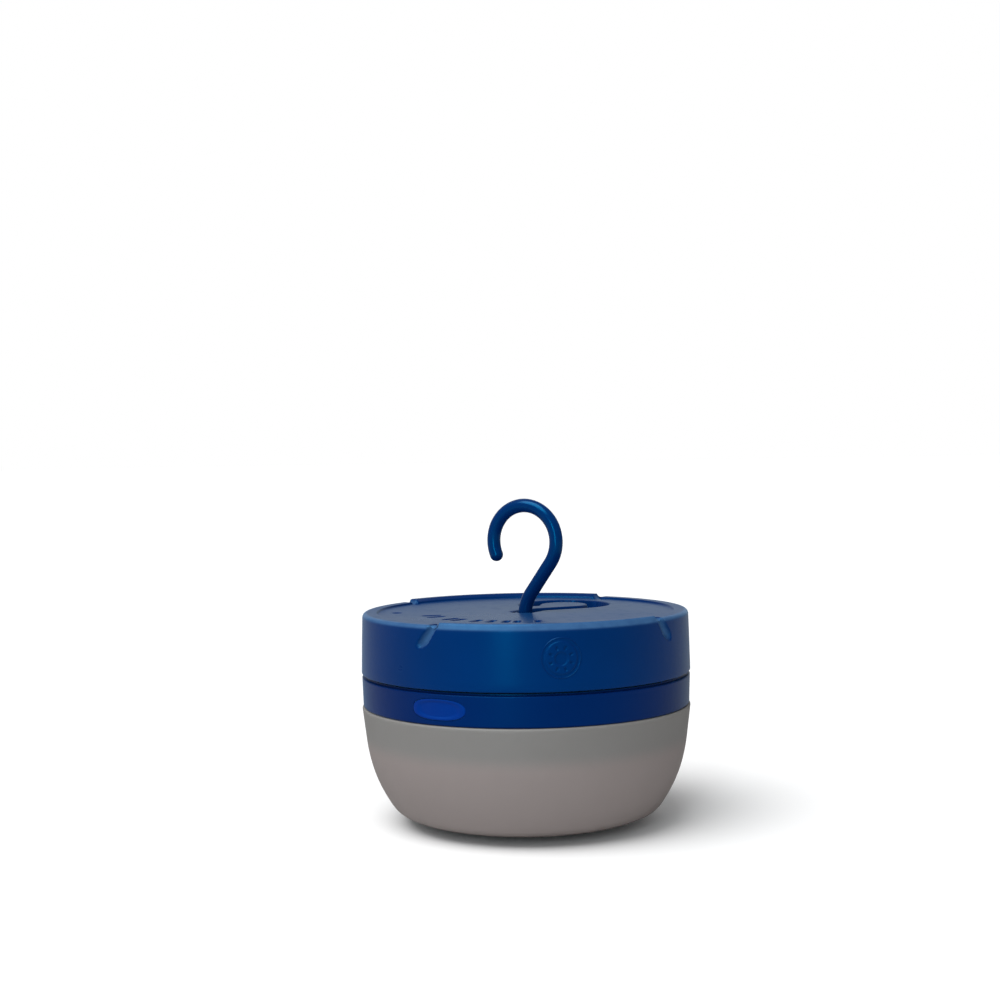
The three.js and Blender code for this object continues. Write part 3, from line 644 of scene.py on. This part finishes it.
def hook_skin(sizes):
    """Hook: circles carried along the centreline, shrinking to a half sphere at the tip.

    A circle at arc length s has radius rod; over the last rod-length it follows the circle
    equation, and a fine moulding line stands proud in the bend plane.
    """
    rod = sizes.rod_radius
    path = hook_centreline(sizes, count=320)
    step = np.diff(path, axis=0)
    tangent = np.concatenate([step[:1], (step[:-1] + step[1:]) / 2, step[-1:]])
    tangent /= np.linalg.norm(tangent, axis=1)[:, None]
    normal = np.stack([-tangent[:, 1], tangent[:, 0]], -1)
    cap_angle = np.linspace(0, math.pi / 2, 12)[1:]
    tip = path[-1] + rod * np.sin(cap_angle)[:, None] * tangent[-1]
    path = np.concatenate([path, tip])
    normal = np.concatenate([normal, np.repeat(normal[-1:], len(tip), 0)])
    size = np.concatenate([np.full(len(path) - len(tip), rod), rod * np.cos(cap_angle)])
    q = np.radians(whole_turn(40))
    seam = 1 + 0.02 * np.exp(-((np.abs(degrees_apart(np.degrees(q), 0)) / 7) ** 2))
    seam = seam + 0.02 * np.exp(-((np.abs(degrees_apart(np.degrees(q), 180)) / 7) ** 2))
    across = size[:, None] * seam * np.cos(q)
    y = size[:, None] * np.sin(q) * np.ones_like(seam)
    x = path[:, :1] + normal[:, :1] * across
    z = PIVOT_Z + path[:, 1:] + normal[:, 1:] * across
    grid = np.stack([x, y, z], -1)
    foot = grid[:1].copy()
    foot[:] = (0, 0, PIVOT_Z)
    return np.concatenate([foot, grid]), (True, True)


def eye_skin(sizes):
    """Round eye of the hook: a rounded barrel along X with the pin's bore through it."""
    bore, outer, half = 0.8, 2.0, sizes.rod_radius
    start = (bore, -half + 0.3)
    corners = [start, (bore, -half), (outer, -half), (outer, half), (bore, half), start]
    profile = round_corners(corners, (0.12, 0.3, 0.3, 0.12), 4)[:-1]
    grid = revolve(profile, whole_turn(48))
    return np.stack([grid[..., 2], grid[..., 0], grid[..., 1] + PIVOT_Z], -1), (False, False)


# ------------------------------------------------------------------ shader node groups


def new_group(name, inputs, outputs):
    """Empty shader node group with the named sockets; returns it with its two end nodes."""
    group = bpy.data.node_groups.new(name, "ShaderNodeTree")
    for label, kind, default in inputs:
        socket = group.interface.new_socket(name=label, in_out="INPUT", socket_type=kind)
        socket.default_value = default
    for label, kind in outputs:
        group.interface.new_socket(name=label, in_out="OUTPUT", socket_type=kind)
    return group, group.nodes.new("NodeGroupInput"), group.nodes.new("NodeGroupOutput")


def add_node(tree, kind, settings=None, **values):
    """Adds a node, sets its attributes, and sets or links its inputs by name or number."""
    node = tree.nodes.new(kind)
    for key, value in (settings or {}).items():
        setattr(node, key, value)
    for key, value in values.items():
        numbered = key[0] == "i" and key[1:].isdigit()
        socket = node.inputs[int(key[1:]) if numbered else key.replace("_", " ")]
        if isinstance(value, bpy.types.NodeSocket):
            tree.links.new(value, socket)
        else:
            socket.default_value = value
    return node


def math_node(tree, operation, a, b=0.0, c=None):
    third = {} if c is None else {"i2": c}
    return add_node(tree, "ShaderNodeMath", {"operation": operation}, i0=a, i1=b, **third).outputs[0]


def object_place(tree):
    """Position on the piece itself, so that a finish moves with it."""
    return add_node(tree, "ShaderNodeTexCoord").outputs["Object"]


def noise(tree, place, scale, detail, **values):
    node = add_node(tree, "ShaderNodeTexNoise", Vector=place, Scale=scale, Detail=detail, **values)
    return node.outputs["Fac"]


def remap(tree, value, low, high, start, end, **chosen):
    """Value carried from low..high to start..end."""
    node = add_node(tree, "ShaderNodeMapRange", chosen, Value=value, i1=low, i2=high, i3=start, i4=end)
    return node.outputs[0]


def blend(tree, share, first, second):
    """Colour between two others."""
    node = add_node(tree, "ShaderNodeMix", {"data_type": "RGBA"}, i0=share, i6=first, i7=second)
    return node.outputs[2]


def shade(rgb, factor=1.0):
    """The colour made lighter or darker, with its fourth part."""
    return (*[c * factor for c in rgb], 1)


def feed(tree, node, **sockets):
    """Links each socket to the node's input of that name."""
    for key, socket in sockets.items():
        tree.links.new(socket, node.inputs[key.replace("_", " ")])


def moulded_group():
    """Moulded plastic: fine orange-peel bump, slow colour drift, duller scuffs, and a painted highlight
    that lightens the colour towards Edge Colour where Edge is set.
    """
    group, given, out = new_group(
        "moulded_plastic",
        [("Colour", "NodeSocketColor", (0, 0, 0, 1)), ("Grain", "NodeSocketFloat", 1.0),
         ("Drift", "NodeSocketFloat", 0.1), ("Roughness", "NodeSocketFloat", 0.35),
         ("Edge", "NodeSocketFloat", 0.0), ("Edge Colour", "NodeSocketColor", (0, 0, 0, 1))],
        [("Colour", "NodeSocketColor"), ("Roughness", "NodeSocketFloat"), ("Normal", "NodeSocketVector")],
    )
    place = object_place(group)
    fine = noise(group, place, 2600.0, 3.0)
    peel = noise(group, place, 420.0, 2.0)
    slow = noise(group, place, 26.0, 3.0)
    long_place = add_node(group, "ShaderNodeMapping", Vector=place, Scale=(60.0, 60.0, 900.0)).outputs[0]
    scratch = remap(group, noise(group, long_place, 6.0, 4.0, Roughness=0.7), 0.5, 0.75, 0.0, 1.0)
    light = remap(group, slow, 0.3, 0.7, -1.0, 1.0)
    light = math_node(group, "MULTIPLY_ADD", light, given.outputs["Drift"], 1.0)
    scale = {"operation": "SCALE"}
    tinted = add_node(group, "ShaderNodeVectorMath", scale, i0=given.outputs["Colour"], Scale=light)
    off_middle = math_node(group, "SUBTRACT", slow, 0.5)
    rough = math_node(group, "MULTIPLY_ADD", off_middle, 0.16, given.outputs["Roughness"])
    rough = math_node(group, "ADD", rough, math_node(group, "MULTIPLY", scratch, 0.07))
    relief = math_node(group, "ADD", math_node(group, "MULTIPLY", fine, 0.35), peel)
    relief = math_node(group, "MULTIPLY", relief, given.outputs["Grain"])
    bump = add_node(group, "ShaderNodeBump", Strength=0.35, Distance=0.00006, Height=relief)
    # Painted highlight: where the Edge input is set, the colour is lightened towards Edge Colour, a
    # little unevenly.
    highlighted = remap(group, peel, 0.2, 0.6, 0.75, 1.0)
    highlighted = math_node(group, "MULTIPLY", highlighted, given.outputs["Edge"])
    painted_highlight = blend(group, highlighted, tinted.outputs[0], given.outputs["Edge Colour"])
    feed(group, out, Colour=painted_highlight, Roughness=rough, Normal=bump.outputs[0])
    return group


def shared_group(name, make):
    return bpy.data.node_groups.get(name) or make()


def new_material(name):
    material = bpy.data.materials.new(name)
    material.use_nodes = True
    tree = material.node_tree
    return material, tree, tree.nodes["Principled BSDF"]


def plastic(name, rgb, roughness=0.34, grain=1.0, drift=0.1, edge=None, **sockets):
    """Moulded plastic or rubber: the shared group feeds colour, roughness and normal."""
    material, tree, shader = new_material(name)
    group = tree.nodes.new("ShaderNodeGroup")
    group.node_tree = shared_group("moulded_plastic", moulded_group)
    group.inputs["Colour"].default_value = shade(rgb)
    group.inputs["Grain"].default_value = grain
    group.inputs["Drift"].default_value = drift
    group.inputs["Roughness"].default_value = roughness
    # Painted highlight: the piece's edge attribute lightens its colour towards the given edge colour.
    if edge is not None:
        mask = add_node(tree, "ShaderNodeAttribute", {"attribute_name": "edge"}).outputs["Fac"]
        tree.links.new(mask, group.inputs["Edge"])
        group.inputs["Edge Colour"].default_value = shade(edge)
    colour_out, rough, normal = group.outputs
    feed(tree, shader, Base_Color=colour_out, Roughness=rough, Normal=normal)
    for key, value in sockets.items():
        shader.inputs[key.replace("_", " ")].default_value = value
    return material


# the blue plastics shine blue rather than white
BLUE_GLOSS = {
    "Specular_Tint": (0.0, 0.5, 1.0, 1.0), "Specular_IOR_Level": 0.3,
    "Sheen_Weight": 0.14, "Sheen_Roughness": 0.3, "Sheen_Tint": (0.12, 0.55, 1.0, 1.0),
}


def frosted(name, rgb):
    """Frosted bowl: warm grey, with painted shade, cooler and darker, in a band where the reflector's
    skirt lies behind it.
    """
    material, tree, shader = new_material(name)
    place = object_place(tree)
    height = add_node(tree, "ShaderNodeSeparateXYZ", Vector=place).outputs["Z"]
    # Painted shade: a band by height where the bowl's colour is made cooler and darker.
    band = remap(tree, height, 0.0185, 0.0228, 0.0, 1.0, interpolation_type="SMOOTHSTEP")
    slow = noise(tree, place, 34.0, 3.0)
    fine = noise(tree, place, 3200.0, 2.0)
    warm = blend(tree, slow, shade(rgb, 0.94), shade(rgb, 1.06))
    shaded_grey = (rgb[0] * 0.8, rgb[1] * 0.9, rgb[2] * 0.9, 1)
    both = blend(tree, band, warm, shaded_grey)
    rough = remap(tree, fine, 0.0, 1.0, 0.48, 0.62)
    bump = add_node(tree, "ShaderNodeBump", Strength=0.25, Distance=0.00003, Height=fine).outputs[0]
    feed(tree, shader, Base_Color=both, Roughness=rough, Normal=bump)
    shader.inputs["IOR"].default_value = 1.49
    shader.inputs["Transmission Weight"].default_value = 0.12
    shader.inputs["Subsurface Weight"].default_value = 0.25
    shader.inputs["Subsurface Radius"].default_value = (0.004, 0.0036, 0.0034)
    shader.inputs["Subsurface Scale"].default_value = 1.0
    return material


def metal(name, rgb, roughness, stretch=(1, 1, 1)):
    """Bright metal with fine drawn lines and a faint variation of shine."""
    material, tree, shader = new_material(name)
    drawn = add_node(tree, "ShaderNodeMapping", Vector=object_place(tree), Scale=stretch).outputs[0]
    lines = noise(tree, drawn, 900.0, 3.0)
    rough = remap(tree, lines, 0.2, 0.8, roughness * 0.7, roughness * 1.4)
    tone = blend(tree, lines, shade(rgb, 0.88), shade(rgb))
    bump = add_node(tree, "ShaderNodeBump", Strength=0.2, Distance=0.00004, Height=lines).outputs[0]
    feed(tree, shader, Base_Color=tone, Roughness=rough, Normal=bump)
    shader.inputs["Metallic"].default_value = 1.0
    return material


def board_material():
    """Circuit board: green solder mask with faint copper runs under it."""
    material, tree, shader = new_material("circuit_board_mask")
    mask, copper = [(0.012, 0.12, 0.04, 1), (0.016, 0.15, 0.05, 1)], (0.03, 0.24, 0.08, 1)
    runs = add_node(tree, "ShaderNodeTexBrick", {"offset": 0.35}, Vector=object_place(tree),
                    Scale=420.0, Color1=mask[0], Color2=mask[1], Mortar=copper).outputs["Color"]
    feed(tree, shader, Base_Color=runs)
    shader.inputs["Roughness"].default_value = 0.35
    return material


def cell_material():
    """Battery sleeve: dark wrap with a plain silver band at each end."""
    material, tree, shader = new_material("battery_sleeve")
    place = object_place(tree)
    x = add_node(tree, "ShaderNodeSeparateXYZ", Vector=place).outputs["X"]
    band = math_node(tree, "GREATER_THAN", math_node(tree, "ABSOLUTE", x), 0.0165)
    rough = remap(tree, noise(tree, place, 300.0, 2.0), 0.0, 1.0, 0.22, 0.4)
    tone = blend(tree, band, (0.025, 0.03, 0.04, 1), (0.5, 0.5, 0.48, 1))
    feed(tree, shader, Base_Color=tone, Roughness=rough)
    shader.inputs["Metallic"].default_value = 0.4
    return material


# ------------------------------------------------------------------ operators


def settings():
    """The lantern's sizes, colours and stage, as set in the scene."""
    scene = bpy.context.scene
    return scene.lantern_sizes, scene.lantern_colours, scene.lantern_stage


def finish_piece(piece, material, body, slot, *nodes):
    """Gives a piece its material and its body, and hides the CAD nodes that it stands for; the slot is
    not used.
    """
    piece.data.materials.append(material)
    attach(piece, body)
    if nodes:
        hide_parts(*nodes)


class LANTERN_OT_cap(bpy.types.Operator):
    """Make the battery cap and the plain badge on its side"""

    bl_idname = "lantern.cap"
    bl_label = "Battery Cap"

    def execute(self, context):
        sizes, colours, _ = settings()
        # cap_skin also returns the painted highlight mask for the rim edge and rim grooves.
        grid, poles, painted_highlight = cap_skin(sizes)
        cap = skin("battery_cap_shell", grid, poles=poles, sharp=50, edge=painted_highlight)
        material = plastic("cap_plastic", colours.cap, roughness=0.3, edge=colours.edge, **BLUE_GLOSS)
        finish_piece(cap, material, "cap", "cap_blue", "battery_cap")
        grid, poles = badge_skin()
        badge = skin("cap_badge", grid, poles=poles, sharp=60)
        finish_piece(badge, material, "cap", "cap_blue")
        return {"FINISHED"}


class LANTERN_OT_body(bpy.types.Operator):
    """Make the lower body with its neck, thread and button pocket"""

    bl_idname = "lantern.body"
    bl_label = "Lower Body"

    def execute(self, context):
        sizes, colours, _ = settings()
        grid, poles = body_skin(sizes)
        body = skin("lower_body_shell", grid, poles=poles, sharp=50)
        material = plastic("body_plastic", colours.body, roughness=0.33, **BLUE_GLOSS)
        finish_piece(body, material, "housing", "body_blue", "lower_body")
        return {"FINISHED"}


class LANTERN_OT_button(bpy.types.Operator):
    """Make the soft oval power button"""

    bl_idname = "lantern.button"
    bl_label = "Power Button"

    def execute(self, context):
        sizes, colours, _ = settings()
        grid, poles = button_skin(sizes)
        button = skin("power_button_pad", grid, poles=poles, sharp=60)
        rubber = {"roughness": 0.5, "grain": 1.6, "drift": 0.06}
        material = plastic("button_rubber", colours.button, **rubber, **BLUE_GLOSS)
        finish_piece(button, material, "button", "button_blue", "power_button")
        return {"FINISHED"}


class LANTERN_OT_bowl(bpy.types.Operator):
    """Make the frosted bowl"""

    bl_idname = "lantern.bowl"
    bl_label = "Diffuser Bowl"

    def execute(self, context):
        _, colours, _ = settings()
        grid, poles = bowl_skin()
        bowl = skin("frosted_bowl_shell", grid, poles=poles, sharp=60)
        material = frosted("frosted_plastic", colours.bowl)
        finish_piece(bowl, material, "housing", "frosted_bowl", "diffuser_bowl")
        return {"FINISHED"}


class LANTERN_OT_hook(bpy.types.Operator):
    """Make the folding hook and its eye"""

    bl_idname = "lantern.hook"
    bl_label = "Hanging Hook"

    def execute(self, context):
        sizes, colours, _ = settings()
        gloss = {**BLUE_GLOSS, "Specular_IOR_Level": 0.6}
        material = plastic("hook_plastic", colours.hook, roughness=0.2, grain=0.6, **gloss)
        grid, poles = hook_skin(sizes)
        hook = skin("hanging_hook_rod", grid, poles=poles, sharp=60)
        finish_piece(hook, material, "hook", "hook_blue", "hanging_hook")
        grid, poles = eye_skin(sizes)
        eye = skin("hanging_hook_eye", grid, wrap_rows=True, sharp=60)
        finish_piece(eye, material, "hook", "hook_blue")
        return {"FINISHED"}


class LANTERN_OT_insides(bpy.types.Operator):
    """Give the pieces inside the body their finishes"""

    bl_idname = "lantern.insides"
    bl_label = "Insides"

    def execute(self, context):
        _, colours, _ = settings()
        white = plastic("white_plastic", colours.white, roughness=0.4, drift=0.03)
        black = plastic("black_plastic", (0.012, 0.012, 0.014), roughness=0.5, grain=1.5)
        silicone = plastic("clear_silicone", (0.48, 0.5, 0.52), roughness=0.6, drift=0.04)
        steel = metal("bright_steel", (0.56, 0.57, 0.58), 0.26, (1, 1, 6))
        nickel = metal("nickel_plate", (0.66, 0.65, 0.62), 0.3, (1, 8, 1))
        phosphor = plastic("led_phosphor", (0.85, 0.62, 0.12), roughness=0.2, Coat_Weight=0.6)
        looks = {
            "white_plastic": white, "black_plastic": black, "silicone": silicone, "steel": steel,
            "nickel": nickel, "led_yellow": phosphor, "board_green": board_material(),
            "cell_wrap": cell_material(),
            "hook_blue": bpy.data.materials["hook_plastic"],
        }
        for part in frame["record"]["subparts"]:
            material = looks.get(part["material_slot"])
            node = frame["nodes"][part["node"]]
            if material is None:
                continue
            node.data.materials.clear()
            node.data.materials.append(material)
        return {"FINISHED"}


class LANTERN_OT_stage(bpy.types.Operator):
    """Make the pale floor, the soft lights and the camera"""

    bl_idname = "lantern.stage"
    bl_label = "Stage"

    def execute(self, context):
        _, colours, stage = settings()
        make_floor(colours, stage)
        make_lights(stage)
        make_camera(stage)
        return {"FINISHED"}


def make_floor(colours, stage):
    """Wide level floor, turned to face the camera; far off it meets the white surroundings.

    It looks white but is dim in reflections, as a floor further down would be.
    """
    reach = 9000.0
    across = np.linspace(-reach, reach, 7)
    u, v = np.meshgrid(across, across, indexing="ij")
    turn = math.radians(stage.azimuth)
    x = -u * math.sin(turn) + v * math.cos(turn)
    y = u * math.cos(turn) + v * math.sin(turn)
    grid = np.stack([x, y, 0 * u], -1)
    rows, columns = u.shape
    index = np.arange(rows * columns).reshape(rows, columns)
    corners = [index[:-1, :-1], index[:-1, 1:], index[1:, 1:], index[1:, :-1]]
    quads = np.stack(corners, -1).reshape(-1, 4)
    mesh = bpy.data.meshes.new("pale_floor")
    mesh.from_pydata((grid.reshape(-1, 3) * MM).tolist(), [], quads.tolist())
    mesh.polygons.foreach_set("use_smooth", np.ones(len(mesh.polygons), bool))
    floor = bpy.data.objects.new("pale_floor", mesh)
    bpy.context.scene.collection.objects.link(floor)
    material, tree, shader = new_material("pale_floor_paint")
    drift = noise(tree, object_place(tree), 3.0, 2.0)
    tone = blend(tree, drift, shade(colours.floor, 0.985), shade(colours.floor))
    path = add_node(tree, "ShaderNodeLightPath").outputs
    bounced, mirrored = shade(colours.floor, 0.78), shade(colours.floor, 0.3)
    thrown = blend(tree, path["Is Glossy Ray"], bounced, mirrored)
    shown = blend(tree, path["Is Camera Ray"], thrown, tone)
    feed(tree, shader, Base_Color=shown)
    shader.inputs["Roughness"].default_value = 0.85
    shader.inputs["Specular IOR Level"].default_value = 0.1
    mesh.materials.append(material)


def make_lights(stage):
    """Soft light from all round, a wide overhead light and a tall strip in front of the cap.

    Rays straight from the camera see the surroundings plain white, and reflections see them dim.
    """
    scene = bpy.context.scene
    world = bpy.data.worlds.new("white_surroundings")
    scene.world = world
    world.use_nodes = True
    tree = world.node_tree
    background = tree.nodes["Background"]
    background.inputs["Color"].default_value = (1, 1, 1, 1)
    path = add_node(tree, "ShaderNodeLightPath").outputs
    dim = remap(tree, path["Is Glossy Ray"], 0.0, 1.0, stage.sky, 0.33 * stage.sky)
    feed(tree, background, Strength=remap(tree, path["Is Camera Ray"], 0.0, 1.0, dim, 1.0))

    sun = bpy.data.lights.new("overhead_light", "SUN")
    sun.energy = stage.sun
    sun.angle = math.radians(50)
    place_lamp(sun, -15.0, 62.0, 1.5)

    panels = (
        ("strip_light", 0.12, 0.5, stage.strip, 17.0, 8.0, 0.75),
        ("backdrop_light", 1.6, 1.0, stage.backdrop, stage.azimuth + 180, 19.0, 1.4),
    )
    for name, width, height, power, azimuth, elevation, distance in panels:
        panel = bpy.data.lights.new(name, "AREA")
        panel.shape = "RECTANGLE"
        panel.size = width
        panel.size_y = height
        panel.energy = power
        panel.color = (0.84, 0.95, 1.0)
        place_lamp(panel, azimuth, elevation, distance)


def place_lamp(data, azimuth, elevation, distance):
    """Puts a light at a bearing and height round the cap, pointing back at it, out of sight."""
    lamp = bpy.data.objects.new(data.name, data)
    lamp.visible_camera = False
    a, e = math.radians(azimuth), math.radians(elevation)
    out = Vector((math.sin(a) * math.cos(e), -math.cos(a) * math.cos(e), math.sin(e)))
    lamp.location = out * distance + Vector((0, 0, 0.045))
    lamp.rotation_euler = out.to_track_quat("Z", "Y").to_euler()
    bpy.context.scene.collection.objects.link(lamp)


def make_camera(stage):
    """Camera level distance and height from the axis, aimed a little left of the lantern."""
    a = math.radians(stage.azimuth)
    right = Vector((math.cos(a), math.sin(a), 0))
    place = Vector((math.sin(a), -math.cos(a), 0)) * stage.distance + Vector((0, 0, stage.height))
    aim = Vector((0, 0, stage.aim_height)) - right * stage.aim_side
    data = bpy.data.cameras.new("camera")
    data.sensor_width = 36.0
    data.lens = stage.lens
    data.clip_start = 0.01
    data.clip_end = 50.0
    camera = bpy.data.objects.new("camera", data)
    turn = (place - aim).to_track_quat("Z", "Y").to_matrix().to_4x4()
    roll = Matrix.Rotation(math.radians(stage.roll), 4, "Z")
    camera.matrix_world = Matrix.Translation(place) @ turn @ roll
    bpy.context.scene.collection.objects.link(camera)
    bpy.context.scene.camera = camera


class LANTERN_PT_panel(bpy.types.Panel):
    """Lists the lantern's pieces and their settings"""

    bl_label = "Camp Lantern"
    bl_idname = "LANTERN_PT_panel"
    bl_space_type = "VIEW_3D"
    bl_region_type = "UI"
    bl_category = "Lantern"

    def draw(self, context):
        column = self.layout.column()
        for operator in OPERATORS:
            column.operator(operator.bl_idname)
        for group in settings():
            for name in group.bl_rna.properties.keys():
                if name not in ("rna_type", "name"):
                    column.prop(group, name)


GROUPS = (LanternSizes, LanternColours, LanternStage)
OPERATORS = (
    LANTERN_OT_cap, LANTERN_OT_body, LANTERN_OT_button, LANTERN_OT_bowl,
    LANTERN_OT_hook, LANTERN_OT_insides, LANTERN_OT_stage,
)


def register():
    for kind in (*GROUPS, *OPERATORS, LANTERN_PT_panel):
        bpy.utils.register_class(kind)
    bpy.types.Scene.lantern_sizes = PointerProperty(type=LanternSizes)
    bpy.types.Scene.lantern_colours = PointerProperty(type=LanternColours)
    bpy.types.Scene.lantern_stage = PointerProperty(type=LanternStage)


def unregister():
    del bpy.types.Scene.lantern_stage
    del bpy.types.Scene.lantern_colours
    del bpy.types.Scene.lantern_sizes
    for kind in reversed((*GROUPS, *OPERATORS, LANTERN_PT_panel)):
        bpy.utils.unregister_class(kind)


def main():
    register()
    bpy.context.scene.view_settings.view_transform = "Standard"
    bpy.ops.lantern.cap()
    bpy.ops.lantern.body()
    bpy.ops.lantern.button()
    bpy.ops.lantern.bowl()
    bpy.ops.lantern.hook()
    bpy.ops.lantern.insides()
    bpy.ops.lantern.stage()


if __name__ == "__main__":
    main()
